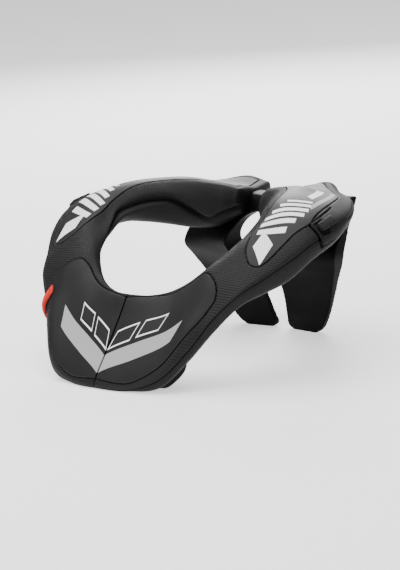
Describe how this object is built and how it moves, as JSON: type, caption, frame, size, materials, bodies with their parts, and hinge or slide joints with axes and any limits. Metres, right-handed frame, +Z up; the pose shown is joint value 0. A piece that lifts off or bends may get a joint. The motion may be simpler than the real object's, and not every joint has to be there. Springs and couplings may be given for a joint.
{
  "type": "motocross neck brace",
  "caption": "Soft moulded motocross neck brace: a split collar with smooth panels, chest pads, strap bridges and a pull tab, joined behind by a stabiliser with spine legs.",
  "frame": {"origin": "on the surface that the brace rests on, under the middle of its box, which lies in the neck opening", "axes": "+X towards the wearer's left, -Y towards the chest, +Z up along the neck"},
  "size_m": [0.297, 0.267, 0.1415],
  "materials": {
    "shell": "fine diagonal ridges, matt",
    "pad": "closed-cell foam, matt",
    "panel": "satin",
    "plate": "finely ribbed, satin",
    "strap": "woven",
    "webbing": "woven, folded"
  },
  "bodies": {
    "root": {"collar_shell_left": "shell", "comfort_pad_left": "pad", "bib_panel_left": "panel", "shoulder_panel_left": "panel", "strap_bridge_left": "plate", "chest_pad_left": "pad", "collar_shell_right": "shell", "comfort_pad_right": "pad", "bib_panel_right": "panel", "shoulder_panel_right": "panel", "strap_bridge_right": "plate", "chest_pad_right": "pad", "stabiliser": "plate", "closure_strap": "strap", "pull_tab": "webbing"}
  },
  "joints": []
}
